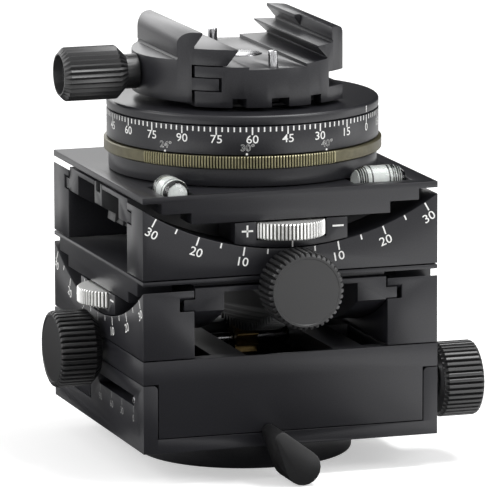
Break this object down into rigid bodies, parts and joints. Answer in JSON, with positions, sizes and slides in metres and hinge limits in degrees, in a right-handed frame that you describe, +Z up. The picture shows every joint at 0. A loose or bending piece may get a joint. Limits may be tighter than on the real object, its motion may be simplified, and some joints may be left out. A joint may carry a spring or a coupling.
{
  "type": "geared tripod head",
  "caption": "Geared tripod head with a panning base, a ninety-degree tilt, two crossed arc stages driven by knobs, a panning dial and a screw-jaw plate clamp.",
  "frame": {"origin": "centre of the base disc's underside, on the axis of its thread socket", "axes": "+Z up through the head; -Y is the front with the upper drive knob; -X is the side with the lower drive knob and the clamp knob"},
  "size_m": [0.1112, 0.0974, 0.1202],
  "materials": {
    "black_anodised": "satin black anodised",
    "black_knob": "black anodised, ribbed",
    "grey_anodised": "hard anodised grey, machined",
    "bronze_anodised": "olive bronze anodised, knurled",
    "bright_steel": "turned bright",
    "silver_knurl": "silver anodised, knurled",
    "brass": "machined",
    "clear_acrylic": "clear acrylic vial"
  },
  "bodies": {
    "base": {"base_disc": "black_anodised", "thread_insert": "bright_steel", "pan_retainer": "bright_steel", "pan_retainer_screw": "bright_steel"},
    "tray": {"tray": "black_anodised", "tilt_hinge_pin": "bright_steel", "pan_brake_shoe": "brass"},
    "pan_lever": {"pan_lock_lever": "black_knob"},
    "tie_rod": {"tie_rod": "bright_steel", "tilt_lock_washer": "bright_steel"},
    "tilt_knob": {"tilt_lock_knob": "black_knob"},
    "tilt_body": {"tilt_body": "black_anodised", "stay_pin_left": "bright_steel", "stay_pin_right": "bright_steel", "lower_wall_left": "black_anodised", "lower_wall_right": "black_anodised", "lower_bush_outer": "brass", "lower_bush_inner": "brass"},
    "stay_left": {"stay_left": "grey_anodised"},
    "stay_right": {"stay_right": "grey_anodised"},
    "lower_drive": {"lower_drive_shaft": "bright_steel", "lower_pinion": "brass", "lower_drive_knob": "black_knob"},
    "lower_cradle": {"lower_cradle_plate": "black_anodised", "lower_rail_left": "black_anodised", "lower_rail_right": "black_anodised", "lower_rack": "grey_anodised", "lower_friction_block": "black_anodised", "lower_wheel_axle": "bright_steel", "upper_wall_front": "black_anodised", "upper_wall_back": "black_anodised", "upper_bush_outer": "brass", "upper_bush_inner": "brass"},
    "lower_wheel": {"lower_friction_wheel": "silver_knurl"},
    "upper_drive": {"upper_drive_shaft": "bright_steel", "upper_pinion": "brass", "upper_drive_knob": "black_knob"},
    "upper_cradle": {"top_plate": "black_anodised", "upper_rail_front": "black_anodised", "upper_rail_back": "black_anodised", "upper_rack": "grey_anodised", "upper_friction_block": "black_anodised", "upper_wheel_axle": "bright_steel", "level_vial_right": "clear_acrylic", "level_vial_left": "clear_acrylic", "pan_base": "black_anodised", "dial_drum": "black_anodised"},
    "upper_wheel": {"upper_friction_wheel": "silver_knurl"},
    "lock_ring": {"pan_lock_ring": "bronze_anodised"},
    "top_pan": {"turning_disc": "black_anodised", "clamp_body": "black_anodised", "clamp_centre_screw": "bright_steel"},
    "clamp_jaw": {"clamp_jaw": "black_anodised"},
    "clamp_knob": {"clamp_knob": "black_knob", "clamp_screw": "bright_steel", "clamp_knob_insert": "bright_steel"},
    "peg_front": {"stop_peg_front": "bright_steel"},
    "peg_back": {"stop_peg_back": "bright_steel"}
  },
  "joints": [
    {"name": "base_pan", "type": "hinge", "parent": "base", "child": "tray", "pos_m": [0, 0, 0.0092], "axis": [0, 0, 1], "continuous": true},
    {"name": "pan_lock", "type": "hinge", "parent": "tray", "child": "pan_lever", "pos_m": [-0.0062, -0.042, 0.0112], "axis": [0, -1, 0], "range_deg": [0, 70]},
    {"name": "tilt", "type": "hinge", "parent": "tray", "child": "tilt_body", "pos_m": [0, 0.0333, 0.0223], "axis": [-1, 0, 0], "range_deg": [0, 90]},
    {"name": "tie_rod_slide", "type": "slide", "parent": "tray", "child": "tie_rod", "axis": [0, 1, 0], "range_m": [0, 0.0309]},
    {"name": "tilt_knob_turn", "type": "hinge", "parent": "tie_rod", "child": "tilt_knob", "pos_m": [0.0443, -0.0326, 0.0223], "axis": [1, 0, 0], "range_deg": [-270, 270]},
    {"name": "stay_left_swing", "type": "hinge", "parent": "tilt_body", "child": "stay_left", "pos_m": [-0.03, 0.0147, 0.0318], "axis": [1, 0, 0], "range_deg": [0, 101.4]},
    {"name": "stay_right_swing", "type": "hinge", "parent": "tilt_body", "child": "stay_right", "pos_m": [0.03, 0.0147, 0.0318], "axis": [1, 0, 0], "range_deg": [0, 101.4]},
    {"name": "lower_tilt", "type": "hinge", "parent": "tilt_body", "child": "lower_cradle", "pos_m": [0, 0, 0.11705], "axis": [1, 0, 0], "range_deg": [-28, 28]},
    {"name": "lower_drive_turn", "type": "hinge", "parent": "tilt_body", "child": "lower_drive", "pos_m": [0, 0, 0.03105], "axis": [1, 0, 0], "range_deg": [-576, 576]},
    {"name": "lower_wheel_turn", "type": "hinge", "parent": "lower_cradle", "child": "lower_wheel", "pos_m": [-0.0365, 0, 0.0455], "axis": [0, 0, 1], "range_deg": [-180, 180]},
    {"name": "upper_tilt", "type": "hinge", "parent": "lower_cradle", "child": "upper_cradle", "pos_m": [0, 0, 0.1396], "axis": [0, 1, 0], "range_deg": [-28, 28]},
    {"name": "upper_drive_turn", "type": "hinge", "parent": "lower_cradle", "child": "upper_drive", "pos_m": [0, 0, 0.0536], "axis": [0, 1, 0], "range_deg": [-576, 576]},
    {"name": "upper_wheel_turn", "type": "hinge", "parent": "upper_cradle", "child": "upper_wheel", "pos_m": [0, -0.0365, 0.0685], "axis": [0, 0, 1], "range_deg": [-180, 180]},
    {"name": "lock_ring_turn", "type": "hinge", "parent": "upper_cradle", "child": "lock_ring", "pos_m": [0, 0, 0.0863], "axis": [0, 0, 1], "range_deg": [0, 25]},
    {"name": "top_pan_turn", "type": "hinge", "parent": "upper_cradle", "child": "top_pan", "pos_m": [0, 0, 0.0962], "axis": [0, 0, 1], "continuous": true},
    {"name": "jaw_slide", "type": "slide", "parent": "top_pan", "child": "clamp_jaw", "axis": [-1, 0, 0], "range_m": [0, 0.005]},
    {"name": "clamp_knob_turn", "type": "hinge", "parent": "clamp_jaw", "child": "clamp_knob", "pos_m": [-0.034, 0, 0.10715], "axis": [-1, 0, 0], "range_deg": [0, 1200]},
    {"name": "peg_front_press", "type": "slide", "parent": "top_pan", "child": "peg_front", "axis": [0, 0, -1], "range_m": [0, 0.0036], "stiffness_N_per_m": 200, "springref_m": -0.002},
    {"name": "peg_back_press", "type": "slide", "parent": "top_pan", "child": "peg_back", "axis": [0, 0, -1], "range_m": [0, 0.0036], "stiffness_N_per_m": 200, "springref_m": -0.002}
  ],
  "couplings": [
    {"joint": "tie_rod_slide", "follows": "tilt", "m_per_rad": 0.01966},
    {"joint": "stay_left_swing", "follows": "tilt", "ratio": 1.1258},
    {"joint": "stay_right_swing", "follows": "tilt", "ratio": 1.1258},
    {"joint": "lower_drive_turn", "follows": "lower_tilt", "ratio": -20.5},
    {"joint": "upper_drive_turn", "follows": "upper_tilt", "ratio": -20.5},
    {"joint": "clamp_knob_turn", "follows": "jaw_slide", "rad_per_m": 4188.8}
  ]
}
